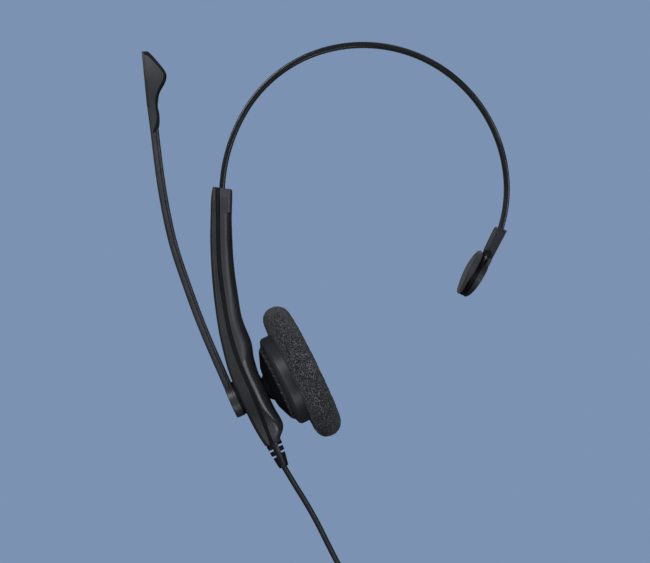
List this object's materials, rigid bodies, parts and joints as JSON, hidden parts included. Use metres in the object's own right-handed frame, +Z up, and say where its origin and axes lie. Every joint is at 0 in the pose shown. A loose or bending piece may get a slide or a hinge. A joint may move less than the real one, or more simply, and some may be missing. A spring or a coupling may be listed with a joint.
{
  "type": "office headset",
  "caption": "Single-ear office headset: sprung headband with a T-bar, foam ear cup on a ball joint, swivelling boom microphone and a lead with a quick-disconnect plug.",
  "frame": {"origin": "centre of the headband's arc, where the wearer's head sits, in the plane of symmetry", "axes": "+Z up towards the crown of the headband, +X from the ear-cup side to the T-bar side, +Y towards the back of the wearer's head when the ear cup is on the wearer's left seen from the front side"},
  "size_m": [0.1422, 0.0544, 0.3149],
  "materials": {
    "shell_plastic": "fine satin moulded ABS",
    "shell_gloss": "semi-gloss moulded ABS",
    "dark_plastic": "matt black moulded nylon",
    "band_gloss": "glossy black over-moulding",
    "steel": "spring steel",
    "pin_steel": "dark plated steel",
    "acetal": "natural acetal",
    "circuit_board": "solder-masked fibreglass",
    "component_black": "moulded chips",
    "cord_rubber": "soft black moulding",
    "cord_jacket": "extruded flexible PVC",
    "wire_pvc": "thin PVC lead",
    "tie_fabric": "woven hook-and-loop strap",
    "contact_brass": "gold-plated contact",
    "pad_rubber": "soft-touch matt pad",
    "felt": "acoustic felt",
    "magnet": "nickel-plated magnet",
    "copper": "enamelled copper wire",
    "film": "thin polyester cone",
    "foam": "open-cell foam"
  },
  "bodies": {
    "arm": {"arm_outer_cover": "shell_plastic", "arm_chassis": "dark_plastic", "arm_inner_shell": "shell_plastic", "arm_lower_shell": "shell_gloss", "arm_tail_cap": "shell_plastic", "detent_spring": "steel", "boom_bush": "acetal", "ball_stud": "dark_plastic", "stud_screw": "steel", "junction_board": "circuit_board", "board_components": "component_black", "strain_relief": "cord_rubber", "cord": "cord_jacket", "cord_hank": "cord_jacket", "cord_tie": "tie_fabric", "cord_end": "cord_jacket", "plug_boot": "cord_rubber", "plug_shell": "shell_plastic", "plug_spigot": "dark_plastic", "plug_contacts": "contact_brass"},
    "headband": {"headband_sleeve": "band_gloss", "headband_spring": "steel", "band_end_stop": "acetal", "t_bar_stem": "shell_gloss", "t_bar_stem_cover": "shell_plastic"},
    "t_bar": {"t_bar_plate": "shell_plastic", "t_bar_carrier": "dark_plastic", "t_bar_pad": "pad_rubber", "t_bar_pin": "pin_steel"},
    "ball_liner": {"ball_liner": "acetal"},
    "speaker": {"speaker_back_cap": "dark_plastic", "speaker_housing": "shell_plastic", "speaker_baffle": "dark_plastic", "damping_felt": "felt", "driver_frame": "dark_plastic", "driver_yoke": "steel", "driver_magnet": "magnet", "driver_pole_plate": "steel", "voice_coil": "copper", "driver_diaphragm": "film", "ear_cushion": "foam"},
    "boom": {"boom_outer_half": "shell_plastic", "boom_inner_half": "shell_plastic", "boom_hub": "dark_plastic", "boom_pivot_shaft": "pin_steel", "pivot_clip": "steel", "pivot_screw": "steel", "boom_wire": "wire_pvc", "mic_inner_housing": "shell_plastic", "mic_port_rim": "dark_plastic", "mic_outer_cover": "shell_plastic", "mic_boot": "cord_rubber", "mic_capsule": "pin_steel", "mic_screen": "felt"}
  },
  "joints": [
    {"name": "headband_slide", "type": "slide", "parent": "arm", "child": "headband", "axis": [0, 0, 1], "range_m": [0, 0.022]},
    {"name": "t_bar_tilt", "type": "hinge", "parent": "headband", "child": "t_bar", "pos_m": [0.04644, 0, -0.02752], "axis": [0, 1, 0], "range_deg": [-10, 10]},
    {"name": "cup_tilt", "type": "hinge", "parent": "arm", "child": "ball_liner", "pos_m": [-0.03332, 0, -0.0757], "axis": [0, 1, 0], "range_deg": [-8, 8]},
    {"name": "cup_swivel", "type": "hinge", "parent": "ball_liner", "child": "speaker", "pos_m": [-0.03332, 0, -0.0757], "axis": [0.4384, 0, -0.8988], "range_deg": [-4, 12]},
    {"name": "boom_pivot", "type": "hinge", "parent": "arm", "child": "boom", "pos_m": [-0.04774, 0, -0.08106], "axis": [-0.9164, 0, -0.4003], "range_deg": [-150, 150]}
  ]
}
